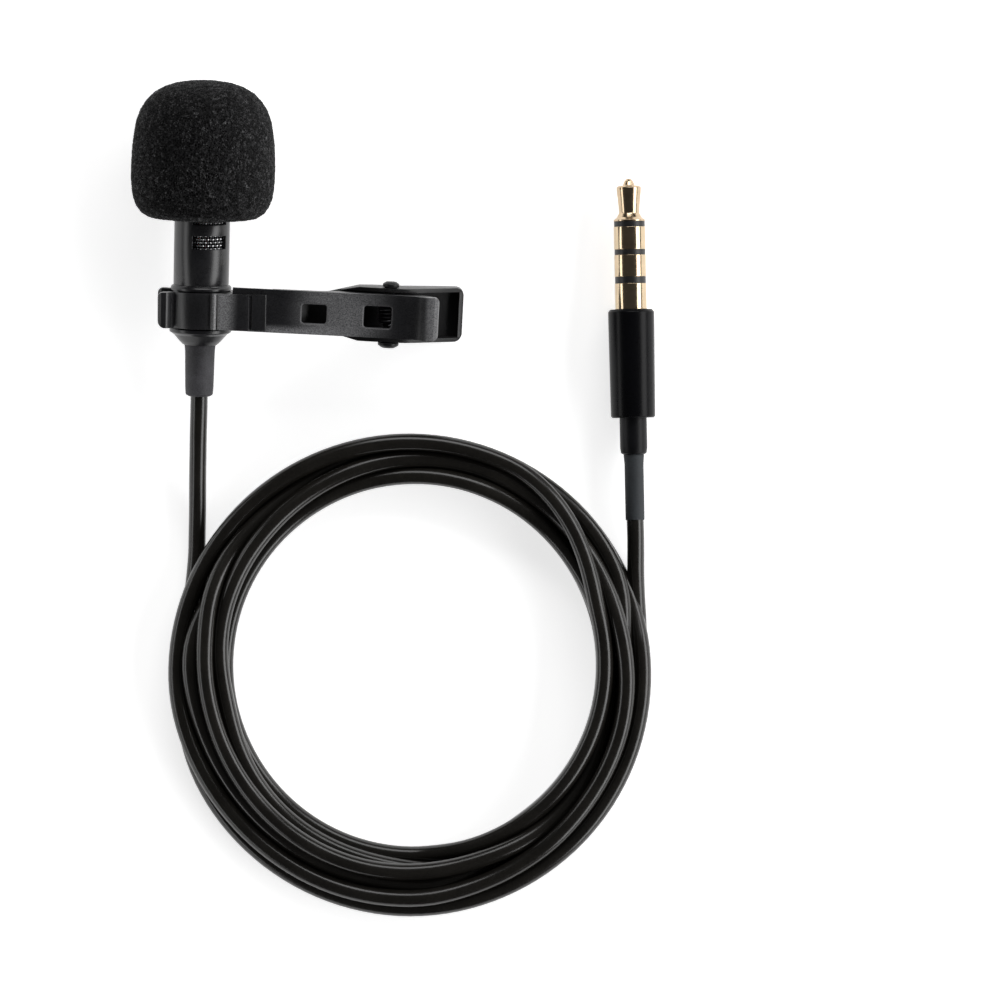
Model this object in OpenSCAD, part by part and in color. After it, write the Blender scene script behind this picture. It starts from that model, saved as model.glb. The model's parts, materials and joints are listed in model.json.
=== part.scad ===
// Lavalier microphone: a capsule in a slim barrel under a foam windscreen, held by the
// sprung collar of a tie clip, with its lead wound in a coil and a four-pole jack plug.
// It lies on a table, +Z up. The origin is on the table, under the middle of the
// microphone and its clip.

/* [Microphone] */
// Diameter of the barrel
barrel_d = 6.1; // [5:0.1:8]
// Length of the barrel from the collar's foot to the grille
barrel_len = 21.2; // [19:0.1:24]
// Wall of the barrel
barrel_wall = 0.4; // [0.3:0.05:0.6]
// Levels of side windows in the barrel
window_rows = 3; // [1:1:3]
// Height of a side window
window_h = 1.45; // [0.8:0.05:1.8]
// Arc that a side window covers, in degrees
window_arc = 80; // [40:5:100]
// Outer diameter of the foam windscreen
foam_d = 15.8; // [13:0.1:20]
// Height of the foam windscreen
foam_h = 15.2; // [14:0.1:20]
// Rise of the microphone towards its foam end, in degrees
tilt = 7; // [5:0.5:9]

/* [Clip] */
// Width of the front arm
arm_w = 4.75; // [4:0.05:6]
// Width of the rear arm over its ears
rear_w = 5.95; // [5.6:0.05:7]
// Thickness of the clip's sheet metal
sheet = 0.45; // [0.35:0.05:0.5]
// Distance from the microphone's axis to the hinge pin
pin_u = 20.75; // [20:0.25:21.5]
// Diameter of the hinge pin
pin_d = 1.3; // [1:0.1:1.5]
// Turns of the torsion spring
spring_turns = 5; // [3:1:6]
// Height of the holder collar
collar_h = 3.95; // [3.5:0.05:4]

/* [Lead and plug] */
// Diameter of the lead
cord_d = 1.9; // [1.6:0.1:2.2]
// Outer radius of the coil of spare lead
coil_r = 26.6; // [25:0.1:28]
// Width of the coil's bundle of turns
coil_w = 6.6; // [5:0.1:8]
// Height of the coil's bundle of turns
coil_h = 5; // [3.8:0.1:6]
// Diameter of the plug's contacts
plug_d = 3.5; // [3.5]
// Diameter of the plug's handle at its front
handle_d = 5.1; // [4.5:0.1:7]
// Length of the plug's handle
handle_len = 11.95; // [10:0.05:16]

/* [Hidden] */
$fn = 48;

// Where the foam's lower face meets the microphone's axis, and how the axis leans.
mic_at = [-10.46, 2.2, 7.29];
mic_lean = 1.2;

// Places along the microphone's axis, measured up from the foam's lower face.
barrel_foot = -11.9;
barrel_top = barrel_foot + barrel_len;
window_pitch = 2.7;
window_low = -2.45;
window_turn = 21;
collar_top = -7.95;
ring_top = -7.35;
cap_foot = -13.9;
relief_foot = -19.6;
barrel_r = barrel_d / 2;
bore_r = barrel_r - barrel_wall;
mesh_wall = 0.12;
foam_play = 0.05;

// The clip's own frame: u along its arms, v along the hinge pin, w towards the front.
clip_v = -9.5;
clip_skew = 1.8;
clip_roll = 1.5;
arm_face = 3.3;
arm_end = 26.1;
rear_end = 28.87;
pin_w = 0.9;
pin_r = pin_d / 2;
pin_play = 0.05;
ear_play = 0.08;
head_r_top = 0.92;
head_r_foot = 1.15;

// The plug's frame: s along its axis towards the tip, from the front face of its handle.
plug_at = [36.63, -7.7, 2.6];
plug_lean = 1.1;
core_r = 0.55;
contact_r = plug_d / 2;

// The coil lies flat on the table.
coil_at = [12.26, -48, 0];

// The lead's two stretches outside the coil, each a list of centre points. The first
// runs from the crimp through the tail cap and the strain relief and down to the coil.
// The second rises from the coil to the shrink sleeve and runs on into the plug.
lead_in_route = [
  [-10.67, -7.92, 6.05], [-10.74, -11, 5.67], [-10.8, -14.17, 5.28], [-10.87, -17.25, 4.9],
  [-10.92, -19.4, 4.57], [-10.99, -21.5, 4.1], [-11.04, -23.6, 3.44], [-11.09, -25.7, 2.72],
  [-11.12, -27.8, 2.0], [-11.14, -30, 1.45], [-11.19, -32.2, 1.1], [-11.24, -34.4, 0.97],
  [-11.39, -36.4, 0.96], [-11.74, -38.4, 0.96]
];
lead_out_route = [
  [36.84, -18.7, 2.6], [36.96, -24.7, 2.6], [37.08, -30.9, 2.6], [37.14, -32.8, 2.35],
  [37.16, -34.7, 1.9], [37.14, -36.6, 1.35], [37.09, -38.5, 1.0], [36.99, -40.4, 0.96]
];

// ---- shared shapes ----

// Places a child that is drawn with Y up the microphone's axis and Z to its front.
module place_mic() {
  translate(mic_at) rotate([0, 0, -mic_lean]) rotate([tilt, 0, 0]) children();
}

// Stands a child that is drawn along Z on the microphone's axis.
module on_mic_axis(at = 0) {
  place_mic() translate([0, at, 0]) rotate([-90, 0, 0]) children();
}

// Turns a child with the collar, which sits a little round the barrel.
module place_collar() {
  place_mic() rotate([0, clip_roll, 0]) children();
}

// Places a child that is drawn in the clip's own frame.
module place_clip() {
  place_collar() translate([0, clip_v, 0]) rotate([0, 0, -clip_skew]) children();
}

// Stands a child that is drawn along Z on the plug's axis.
module on_plug_axis(at = 0) {
  translate(plug_at) rotate([0, 0, plug_lean]) translate([0, at, 0]) rotate([-90, 0, 0])
    children();
}

// A tube with closed ring ends.
module tube(outer, inner, h) {
  difference() {
    cylinder(r = outer, h = h);
    translate([0, 0, -1]) cylinder(r = inner, h = h + 2);
  }
}

// A strip of sheet metal: a side profile carried across the whole width.
module profile_across(width) {
  rotate([90, 0, 0]) linear_extrude(height = width, center = true) children();
}

// A rectangle with round corners, centred.
module round_rect(size, r) {
  union() {
    square([size[0] - 2 * r, size[1]], center = true);
    square([size[0], size[1] - 2 * r], center = true);
    for (sx = [-1, 1], sy = [-1, 1])
      translate([sx * (size[0] / 2 - r), sy * (size[1] / 2 - r)]) circle(r = r, $fn = 24);
  }
}

// The functions below sweep a round tube along a list of points.
sides = 8;
function unit(a) = a / norm(a);
function heading(p, i) = unit(p[min(i + 1, len(p) - 1)] - p[max(i - 1, 0)]);
function level_side(d) = unit(cross(d, [0, 0, 1]));
function ring_point(p, i, k, r) =
  let (d = heading(p, i), a = level_side(d), b = cross(a, d), t = 360 * k / sides)
  p[i] + r * cos(t) * a + r * sin(t) * b;

module swept_tube(p, r) {
  n = len(p);
  points = [for (i = [0 : n - 1], k = [0 : sides - 1]) ring_point(p, i, k, r)];
  skin = [for (i = [0 : n - 2], k = [0 : sides - 1])
    let (a = i * sides, b = a + sides, m = (k + 1) % sides) [a + k, a + m, b + m, b + k]];
  foot = [[for (k = [sides - 1 : -1 : 0]) k]];
  head = [[for (k = [0 : sides - 1]) (n - 1) * sides + k]];
  polyhedron(points = points, faces = concat(skin, foot, head), convexity = 4);
}

// ---- microphone ----

// The foam's outline: a rounded square dome, widest a third of the way up.
module foam_outline() {
  w = foam_d / 2;
  h = foam_h;
  polygon([
    [0, 0.02 * h], [0.42 * w, 0.02 * h], [0.56 * w, 0], [0.69 * w, 0.012 * h],
    [0.8 * w, 0.045 * h], [0.88 * w, 0.09 * h], [0.94 * w, 0.145 * h], [0.975 * w, 0.2 * h],
    [0.995 * w, 0.28 * h], [w, 0.36 * h], [w, 0.46 * h], [0.99 * w, 0.545 * h],
    [0.97 * w, 0.62 * h], [0.945 * w, 0.7 * h], [0.89 * w, 0.785 * h], [0.81 * w, 0.85 * h],
    [0.7 * w, 0.909 * h], [0.56 * w, 0.952 * h], [0.4 * w, 0.98 * h], [0.2 * w, 0.996 * h],
    [0, h]
  ]);
}

module foam_windscreen() color("#141416") on_mic_axis() difference() {
  rotate_extrude($fn = 64) foam_outline();
  translate([0, 0, -1]) cylinder(r = barrel_r + foam_play, h = barrel_top + 1.2);
}

// One side window: a wedge that cuts through one side of the barrel.
module window_wedge(level) {
  translate([0, 0, window_low + level * window_pitch - window_h / 2])
    rotate([0, 0, -window_arc / 2])
      rotate_extrude(angle = window_arc, $fn = 48)
        translate([bore_r - 0.5, 0]) square([2, window_h]);
}

module mic_body() color("#202124") on_mic_axis() difference() {
  translate([0, 0, barrel_foot]) tube(barrel_r, bore_r, barrel_len);
  for (level = [0 : window_rows - 1], side = [0, 180])
    rotate([0, 0, side - 90 + window_turn]) window_wedge(level);
}

module mesh_sleeve() color("#c9ccd0") on_mic_axis(window_low - 1.6)
  tube(bore_r, bore_r - mesh_wall, 2 * window_pitch + 3.2);

module top_grille() color("#c9ccd0") on_mic_axis(barrel_top - 0.4) {
  cylinder(r = bore_r, h = 0.4);
}

module capsule() color("#b8babd") on_mic_axis(4.2) union() {
  cylinder(r = 2, h = 1.6);
  translate([0, 0, 1.6]) cylinder(r = 1.9, h = 0.1);
}

module capsule_boot() color("#2a2a2c") on_mic_axis(3.4) difference() {
  cylinder(r = bore_r - mesh_wall, h = 2.4);
  translate([0, 0, 0.8]) cylinder(r = 2, h = 2);
  translate([0, 0, -1]) cylinder(r = 1.5, h = 3);
}

module capsule_board() color("#2f6b3d") on_mic_axis(3.7) {
  cylinder(r = 1.45, h = 0.5);
}

module signal_wires() color("#b04030") for (side = [-0.45, 0.45])
  place_mic() translate([side, -9.9, 0]) rotate([-90, 0, 0]) cylinder(r = 0.2, h = 13.6);

module stop_ring() color("#26272a") on_mic_axis(collar_top + 0.03)
  rotate_extrude() union() {
    translate([barrel_r, 0]) square([0.16, ring_top - collar_top - 0.03]);
    translate([barrel_r + 0.16, 0.285]) circle(r = 0.12, $fn = 24);
  }

module tail_cap() color("#1d1e20") on_mic_axis() difference() {
  rotate_extrude() polygon([
    [0, cap_foot], [1.95, cap_foot], [2.35, -13.45], [2.95, -12.75], [3.32, -12.55],
    [3.4, -12.45], [3.4, -12.0], [3.34, barrel_foot], [bore_r, barrel_foot],
    [bore_r, -10.9], [0, -10.9]
  ]);
  translate([0, 0, cap_foot - 1]) cylinder(r = cord_d / 2, h = 5);
}

module cable_crimp() color("#b59a58") on_mic_axis(-10.9) tube(1.4, cord_d / 2, 0.9);

module strain_relief() color("#2c2d30") on_mic_axis() difference() {
  rotate_extrude() polygon([
    [0, relief_foot], [1.25, relief_foot], [1.46, relief_foot + 0.12],
    [1.54, relief_foot + 0.35], [1.67, cap_foot], [0, cap_foot]
  ]);
  translate([0, 0, relief_foot - 1]) cylinder(r = cord_d / 2, h = 8);
}

// ---- clip ----

// The collar's section: an open ring whose two lips flare away from the barrel.
module collar_section() {
  inner = barrel_r + 0.07;
  outer = inner + 0.5;
  mouth = 40;
  difference() {
    circle(r = outer, $fn = 96);
    circle(r = inner, $fn = 96);
    polygon([[0, 0], [-9 * cos(mouth), 9 * sin(mouth)], [-9, 0],
      [-9 * cos(mouth), -9 * sin(mouth)]]);
  }
  for (flip = [0, 1]) mirror([0, flip])
    polygon([
      [-inner * cos(mouth), inner * sin(mouth)],
      [-outer * cos(mouth + 6), outer * sin(mouth + 6)],
      [-2.95, 2.3], [-3.2, 2.35], [-3.55, 2.82], [-3.8, 2.98], [-4.35, 2.98],
      [-4.68, 2.7], [-4.75, 2.3], [-4.35, 1.98], [-3.6, 1.8], [-2.95, 1.72]
    ]);
}

// The two tabs that hold the front arm between them.
module collar_tabs() {
  polygon([[0.7, 3.2], [1.7, 2.9], [2.1, arm_face], [7.2, arm_face], [7.2, 3.62], [7.08, 3.74],
    [5.62, 3.74], [5.52, 3.5], [5.38, 3.5], [5.26, 3.8], [4.7, 3.86], [4.1, 3.74],
    [3.4, 3.58], [2.3, 3.82], [2.0, 3.86], [1.86, 3.78], [1.78, 3.62], [1.68, 3.74],
    [1.42, 3.86], [1.24, 3.8], [1.1, 3.5], [0.98, 3.46], [0.7, 3.5]]);
  polygon([[2.3, 2.2], [5.1, 2.2], [5.1, arm_face - sheet], [2.0, arm_face - sheet]]);
}

// Plan of the collar: square at its tabs, with round corners at its lips.
module collar_plan() {
  hull() {
    translate([7.5, -collar_h]) square([0.5, collar_h]);
    translate([-4.15, -0.6]) circle(r = 0.6, $fn = 24);
    translate([-3.9, 0.8 - collar_h]) circle(r = 0.8, $fn = 24);
  }
}

module clip_collar() color("#232427") place_collar() difference() {
  intersection() {
    translate([0, collar_top, 0]) rotate([90, 0, 0]) linear_extrude(height = collar_h)
      union() {
        collar_section();
        collar_tabs();
      }
    translate([0, collar_top, -5]) linear_extrude(height = 10) collar_plan();
  }
  on_barrel_gap();
}

// Keeps the inside of the collar round where the tabs join it.
module on_barrel_gap() {
  translate([0, collar_top + 1, 0]) rotate([90, 0, 0])
    cylinder(r = barrel_r + 0.07, h = collar_h + 2, $fn = 96);
}

// Side profile of the front arm's plate, ending in a raised thumb lip.
module arm_plate_profile() {
  polygon([
    [3.4, arm_face], [3.4, arm_face - sheet], [23.5, arm_face - sheet],
    [24.2, 3.15], [24.8, 3.6], [25.3, 3.7], [25.65, 3.3], [25.75, 2.9], [arm_end, 2.9],
    [arm_end, 3.3], [25.95, 3.7], [25.6, 4.05], [25.1, 4.15], [24.6, 4.05],
    [24.0, 3.65], [23.3, arm_face]
  ]);
}

// Side profile of the front arm's flanges, deep at the pin.
module arm_flange_profile() {
  polygon([
    [7.8, arm_face], [7.8, 2.4], [13, 2.2], [18.4, -0.2], [22.9, -0.2], [25.4, 2.7],
    [arm_end, 2.9], [arm_end, 3.3], [25.95, 3.7], [25.6, 4.05], [25.1, 4.15],
    [24.6, 4.05], [24.0, 3.65], [23.3, arm_face]
  ]);
}

// Plan of the front arm, with round corners at its thumb lip.
module arm_plan() {
  hull() {
    translate([3, -arm_w / 2]) square([1, arm_w]);
    for (side = [-1, 1]) translate([arm_end - 0.6, side * (arm_w / 2 - 0.6)])
      circle(r = 0.6, $fn = 24);
  }
}

module front_jaw() color("#2b2c30") place_clip() difference() {
  intersection() {
    union() {
      profile_across(arm_w) arm_plate_profile();
      for (side = [-1, 1]) translate([0, side * (arm_w - sheet) / 2, 0])
        profile_across(sheet) arm_flange_profile();
    }
    translate([0, 0, -2]) linear_extrude(height = 8) arm_plan();
  }
  translate([12.45, -0.1, 2]) linear_extrude(height = 3) round_rect([2.7, 2.1], 0.3);
  translate([19.4, -0.1, 2]) linear_extrude(height = 3) round_rect([3, 2.35], 0.3);
  translate([pin_u, 5, pin_w]) rotate([90, 0, 0]) cylinder(r = pin_r, h = 10);
}

module hinge_pin() color("#3a3b3f") place_clip() translate([pin_u, 0, pin_w])
  rotate([90, 0, 0]) union() {
    reach = rear_w / 2 + ear_play;
    translate([0, 0, -reach]) cylinder(r = pin_r, h = 2 * reach);
    translate([0, 0, reach]) cylinder(r = head_r_foot, h = 0.3);
    translate([0, 0, reach + 0.3]) cylinder(r1 = head_r_foot, r2 = 0.7, h = 0.3);
    translate([0, 0, -reach - 0.35]) cylinder(r = head_r_top, h = 0.35);
    translate([0, 0, -reach - 0.6]) cylinder(r1 = 0.55, r2 = head_r_top, h = 0.25);
  }

module torsion_spring() color("#9a9da1") place_clip() translate([pin_u, 0, pin_w]) {
  wire = 0.2;
  mean = 1.0;
  pitch = 1.8 * wire;
  for (turn = [0 : spring_turns - 1])
    translate([0, (turn - (spring_turns - 1) / 2) * pitch, 0]) rotate([90, 0, 0])
      rotate_extrude($fn = 48) translate([mean, 0]) circle(r = wire, $fn = 24);
  reach = (spring_turns - 1) / 2 * pitch;
  translate([0, -reach, mean]) rotate([0, 77, 0]) cylinder(r = wire, h = 2.6);
  translate([0, reach, -mean]) rotate([0, 112, 0]) cylinder(r = wire, h = 3.1);
}

// Side profile of the rear arm's floor, from its toothed tip to the finger tray.
module rear_floor_profile() {
  polygon([
    [7.9, 2.5], [8.2, 2.75], [8.5, 2.5], [8.8, 2.75], [9.1, 2.45], [9.6, 2.25],
    [14, 0.6], [19, -1.15], [22, -1.5], [27.6, -3.75], [28.4, -3.85], [rear_end, -3.6],
    [rear_end, -4.1], [28.5, -4.35], [27.5, -4.25], [21.9, -2.0], [18.9, -1.65],
    [13.8, 0.1], [9.2, 1.85], [7.9, 2.05]
  ]);
}

// Side profile of the rear arm's ears and the tray's side walls.
module rear_ear_profile() {
  polygon([
    [14, 0.55], [17.6, 1.65], [18.4, 1.8], [22.4, 1.8], [23.4, 1.2], [28.2, -2.2],
    [rear_end, -2.8], [rear_end, -4.1], [28.5, -4.35], [27.5, -4.25], [21.9, -2.0],
    [18.9, -1.65], [13.8, 0.1]
  ]);
}

// Plan of the rear arm: narrow at the tip, full width at the ears, round at its end.
module rear_plan() {
  half = rear_w / 2;
  corner = 0.9;
  union() {
    polygon([[7.8, -1.9], [13.9, -2.2], [17.3, -half], [rear_end - corner, -half],
      [rear_end - corner, half], [17.3, half], [13.9, 2.2], [7.8, 1.9]]);
    translate([rear_end - corner, -half + corner]) square([corner, rear_w - 2 * corner]);
    for (side = [-1, 1]) translate([rear_end - corner, side * (half - corner)])
      circle(r = corner, $fn = 32);
  }
}

// The tray's end wall joins its two side walls.
module tray_end_profile() {
  polygon([[28.4, -4.3], [rear_end, -4.1], [rear_end, -2.9], [28.4, -2.6]]);
}

module rear_jaw() color("#1c1d1f") place_clip() difference() {
  intersection() {
    union() {
      profile_across(rear_w) rear_floor_profile();
      profile_across(rear_w) tray_end_profile();
      for (side = [-1, 1]) translate([0, side * (rear_w - sheet) / 2, 0])
        profile_across(sheet) rear_ear_profile();
    }
    translate([0, 0, -6]) linear_extrude(height = 12) rear_plan();
  }
  translate([pin_u, 5, pin_w]) rotate([90, 0, 0]) cylinder(r = pin_r + pin_play, h = 10);
}

// ---- lead ----

module cord_lead_in() color("#101012") swept_tube(lead_in_route, cord_d / 2);

module cable_coil() color("#101012") translate(coil_at) rotate_extrude($fn = 120)
  translate([coil_r - coil_w / 2, coil_h / 2]) round_rect([coil_w, coil_h], 0.9);

module cord_lead_out() color("#101012") swept_tube(lead_out_route, cord_d / 2);

// ---- plug ----

module contact(from, to) {
  on_plug_axis(from) tube(contact_r, core_r, to - from);
}

module plug_tip() color("#c9a24a") on_plug_axis() rotate_extrude() polygon([
  [0, 9.7], [contact_r, 9.7], [contact_r, 9.85], [1.32, 10.2], [1.12, 10.6],
  [1.12, 11.0], [1.26, 12.2], [1.38, 13.2], [1.36, 13.45], [1.22, 13.62],
  [0.5, 13.7], [0.42, 14.25], [0.3, 14.38], [0, 14.4]
]);

module tip_insulator() color("#121213") contact(9.1, 9.7);

module plug_ring_right() color("#c9a24a") contact(6.6, 9.1);

module ring_insulator() color("#121213") contact(6, 6.6);

module plug_ring_ground() color("#c9a24a") contact(3.6, 6);

module sleeve_insulator() color("#121213") contact(2.85, 3.6);

module plug_sleeve() color("#c9a24a") contact(0, 2.85);

module plug_core() color("#a88a4a") on_plug_axis(-2) cylinder(r = core_r, h = 11.7);

module plug_terminals() color("#a88a4a") for (side = [-1, 1])
  on_plug_axis(-6.5) translate([side * 0.9, 0, 0]) linear_extrude(height = 6.5)
    square([0.3, 1.4], center = true);

module plug_barrel() color("#0d0d0e") on_plug_axis() difference() {
  rotate_extrude() polygon([
    [0, -handle_len], [handle_d / 2 - 0.3, -handle_len],
    [handle_d / 2 - 0.12, -handle_len + 0.2],
    [handle_d / 2 - 0.1, -handle_len + 1], [handle_d / 2 - 0.02, -0.25],
    [handle_d / 2 - 0.25, 0], [0, 0]
  ]);
  translate([0, 0, -handle_len + 1.2]) cylinder(r = 1.5, h = handle_len);
  translate([0, 0, -handle_len - 1]) cylinder(r = cord_d / 2, h = 3);
}

module plug_tail() color("#141415") on_plug_axis() difference() {
  rotate_extrude() polygon([
    [0, -16], [1.05, -16], [1.3, -15.85], [1.45, -15.5], [1.5, -15],
    [1.5, -handle_len], [0, -handle_len]
  ]);
  translate([0, 0, -17]) cylinder(r = cord_d / 2, h = 6);
}

module shrink_sleeve() color("#4a4e55") on_plug_axis(-23.2) tube(1.05, cord_d / 2, 7.2);

foam_windscreen();
mic_body();
mesh_sleeve();
top_grille();
capsule();
capsule_boot();
capsule_board();
signal_wires();
stop_ring();
tail_cap();
cable_crimp();
strain_relief();
clip_collar();
front_jaw();
hinge_pin();
torsion_spring();
rear_jaw();
cord_lead_in();
cable_coil();
cord_lead_out();
plug_tip();
tip_insulator();
plug_ring_right();
ring_insulator();
plug_ring_ground();
sleeve_insulator();
plug_sleeve();
plug_core();
plug_terminals();
plug_barrel();
plug_tail();
shrink_sleeve();
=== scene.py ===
"""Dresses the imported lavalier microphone: its lead, foam, woven steel, clip and plug.

Lengths are in metres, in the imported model's own frame, unless a name ends in _mm.
"""

import json
import logging
import math
from dataclasses import dataclass, field
from enum import Enum
from typing import Callable, Sequence

import bmesh
import bpy
import numpy as np
from mathutils import Matrix, Vector
from mathutils.kdtree import KDTree


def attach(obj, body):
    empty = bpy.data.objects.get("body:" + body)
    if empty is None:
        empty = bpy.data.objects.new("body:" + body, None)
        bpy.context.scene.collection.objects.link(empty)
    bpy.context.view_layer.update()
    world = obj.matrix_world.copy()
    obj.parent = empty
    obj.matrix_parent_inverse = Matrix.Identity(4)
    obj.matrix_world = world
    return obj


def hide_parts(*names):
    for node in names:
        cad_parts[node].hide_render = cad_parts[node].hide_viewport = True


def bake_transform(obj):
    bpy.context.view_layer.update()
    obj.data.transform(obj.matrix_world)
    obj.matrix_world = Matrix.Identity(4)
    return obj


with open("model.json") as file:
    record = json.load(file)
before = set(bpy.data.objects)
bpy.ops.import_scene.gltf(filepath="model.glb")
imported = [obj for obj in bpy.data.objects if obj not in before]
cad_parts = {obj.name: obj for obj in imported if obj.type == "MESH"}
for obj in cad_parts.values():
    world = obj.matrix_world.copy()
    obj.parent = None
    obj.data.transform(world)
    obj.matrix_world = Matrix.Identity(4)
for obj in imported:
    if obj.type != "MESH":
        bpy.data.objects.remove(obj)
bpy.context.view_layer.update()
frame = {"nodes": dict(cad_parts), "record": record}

log = logging.getLogger("lavalier")
MM = 0.001
Point = tuple[float, float, float]
Colour = tuple[float, float, float]


class Body(Enum):
    """The moving bodies that a piece can ride on."""

    MICROPHONE = "microphone"
    WINDSCREEN = "windscreen"
    CLIP = "clip"
    REAR_ARM = "rear_arm"


# ---------------------------------------------------------------- shader building


class Value:
    """A node's output socket that grows Math nodes when it meets an operator."""

    def __init__(self, paint: "Paint", socket: bpy.types.NodeSocket) -> None:
        """Wraps a socket.

        Args:
            paint: The material that the socket belongs to.
            socket: The output socket to wrap.
        """
        self.paint = paint
        self.socket = socket

    def _math(self, operation: str, *others: "float | Value", swap: bool = False) -> "Value":
        """Adds one Math node.

        Args:
            operation: The node's operation, such as ADD.
            others: The other operands, numbers or values.
            swap: True puts this value second.

        Returns:
            The node's result.
        """
        terms = [self, *others]
        if swap:
            terms.reverse()
        node = self.paint.node("ShaderNodeMath", {"operation": operation}, dict(enumerate(terms)))
        return Value(self.paint, node.outputs[0])

    def __add__(self, other: "float | Value") -> "Value":
        """Returns the sum."""
        return self._math("ADD", other)

    def __sub__(self, other: "float | Value") -> "Value":
        """Returns this less other."""
        return self._math("SUBTRACT", other)

    def __mul__(self, other: "float | Value") -> "Value":
        """Returns the product."""
        return self._math("MULTIPLY", other)

    def __rsub__(self, other: float) -> "Value":
        """Returns other less this."""
        return self._math("SUBTRACT", other, swap=True)

    __radd__ = __add__
    __rmul__ = __mul__

    def __pow__(self, power: float) -> "Value":
        """Returns this value raised to a power."""
        return self._math("POWER", power)

    def held(self, low: float = 0.0, high: float = 1.0) -> "Value":
        """Returns this value kept between low and high."""
        return self._math("MAXIMUM", low)._math("MINIMUM", high)

    def step(self, start: float, end: float) -> "Value":
        """Returns a smooth rise from 0 at start to 1 at end."""
        node = self.paint.node(
            "ShaderNodeMapRange",
            {"interpolation_type": "SMOOTHSTEP"},
            {"Value": self, "From Min": start, "From Max": end},
        )
        return Value(self.paint, node.outputs["Result"])


class Paint:
    """One material and the nodes in it."""

    def __init__(self, name: str) -> None:
        """Makes an empty node material with one Principled shader.

        Args:
            name: The material's name.
        """
        self.material = bpy.data.materials.new(name)
        self.material.use_nodes = True
        self.tree = self.material.node_tree
        self.tree.nodes.clear()
        self.shader = self.node("ShaderNodeBsdfPrincipled")
        out = self.node("ShaderNodeOutputMaterial")
        self.tree.links.new(self.shader.outputs[0], out.inputs["Surface"])
        self.place = self.node("ShaderNodeTexCoord").outputs["Object"]

    def node(
        self, kind: str, settings: dict | None = None, sockets: dict | None = None
    ) -> bpy.types.Node:
        """Adds a node.

        Args:
            kind: The node's type name.
            settings: Properties that are set first.
            sockets: Input sockets by name or index, each a value, a Value or a socket.

        Returns:
            The new node.
        """
        made = self.tree.nodes.new(kind)
        for key, setting in (settings or {}).items():
            setattr(made, key, setting)
        for key, given in (sockets or {}).items():
            self.feed(made.inputs[key], given)
        return made

    def feed(self, socket: bpy.types.NodeSocket, given: object) -> None:
        """Links a socket to a Value or a socket, or sets it to a plain value.

        Args:
            socket: The input socket.
            given: What it gets.
        """
        if isinstance(given, Value):
            self.tree.links.new(given.socket, socket)
        elif isinstance(given, bpy.types.NodeSocket):
            self.tree.links.new(given, socket)
        elif isinstance(given, tuple) and len(given) == 3 and socket.type == "RGBA":
            socket.default_value = (*given, 1.0)
        else:
            socket.default_value = given

    def set(self, **sockets: object) -> None:
        """Feeds the shader's own sockets, named with underscores for spaces."""
        for name, given in sockets.items():
            self.feed(self.shader.inputs[name.replace("_", " ")], given)

    def stretched(self, scale: Point) -> bpy.types.NodeSocket:
        """Returns Object coordinates scaled by a Mapping node."""
        node = self.node(
            "ShaderNodeMapping", {"vector_type": "POINT"}, {"Vector": self.place, "Scale": scale}
        )
        return node.outputs[0]

    def noise(self, size_mm: float, detail: float = 2.0, vector: object = None) -> Value:
        """Returns noise whose lumps are about size_mm across."""
        node = self.node(
            "ShaderNodeTexNoise",
            {"noise_dimensions": "3D"},
            {"Vector": vector or self.place, "Scale": 1 / (size_mm * MM), "Detail": detail},
        )
        return Value(self, node.outputs[0])

    def attribute(self, name: str) -> Value:
        """Returns a mesh attribute's number."""
        node = self.node("ShaderNodeAttribute", {"attribute_name": name})
        return Value(self, node.outputs["Fac"])

    def blend(self, mask: Value, low: object, high: object) -> bpy.types.NodeSocket:
        """Returns a colour that goes from low to high as mask goes from 0 to 1."""
        node = self.node("ShaderNodeMix", {"data_type": "RGBA"}, {0: mask, 6: low, 7: high})
        return node.outputs[2]

    def dotted(self, vector: object, axis: Sequence[float]) -> Value:
        """Returns a vector's length along an axis."""
        node = self.node(
            "ShaderNodeVectorMath", {"operation": "DOT_PRODUCT"}, {0: vector, 1: tuple(axis)}
        )
        return Value(self, node.outputs["Value"])

    def fixed(self, **sockets: float) -> None:
        """Sets the shader's own sockets that never vary over a surface."""
        for name, number in sockets.items():
            self.shader.inputs[name.replace("_", " ")].default_value = number

    def measured(self, place: Matrix, axis: int) -> Value:
        """Measures every point along one axis of a frame.

        Args:
            place: The frame's matrix in the model.
            axis: The number of the axis.

        Returns:
            The coordinate in millimetres.
        """
        direction = place.to_3x3().col[axis]
        start = direction.dot(place.translation)
        return (self.dotted(self.place, direction) - start) * (1 / MM)

    def bump(self, height: Value, depth_mm: float, strength: float = 1.0) -> bpy.types.NodeSocket:
        """Returns the Normal of a Bump node whose height 1 is depth_mm."""
        sockets = {"Height": height, "Distance": depth_mm * MM, "Strength": strength}
        return self.node("ShaderNodeBump", {}, sockets).outputs[0]


# ---------------------------------------------------------------- finishes


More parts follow.
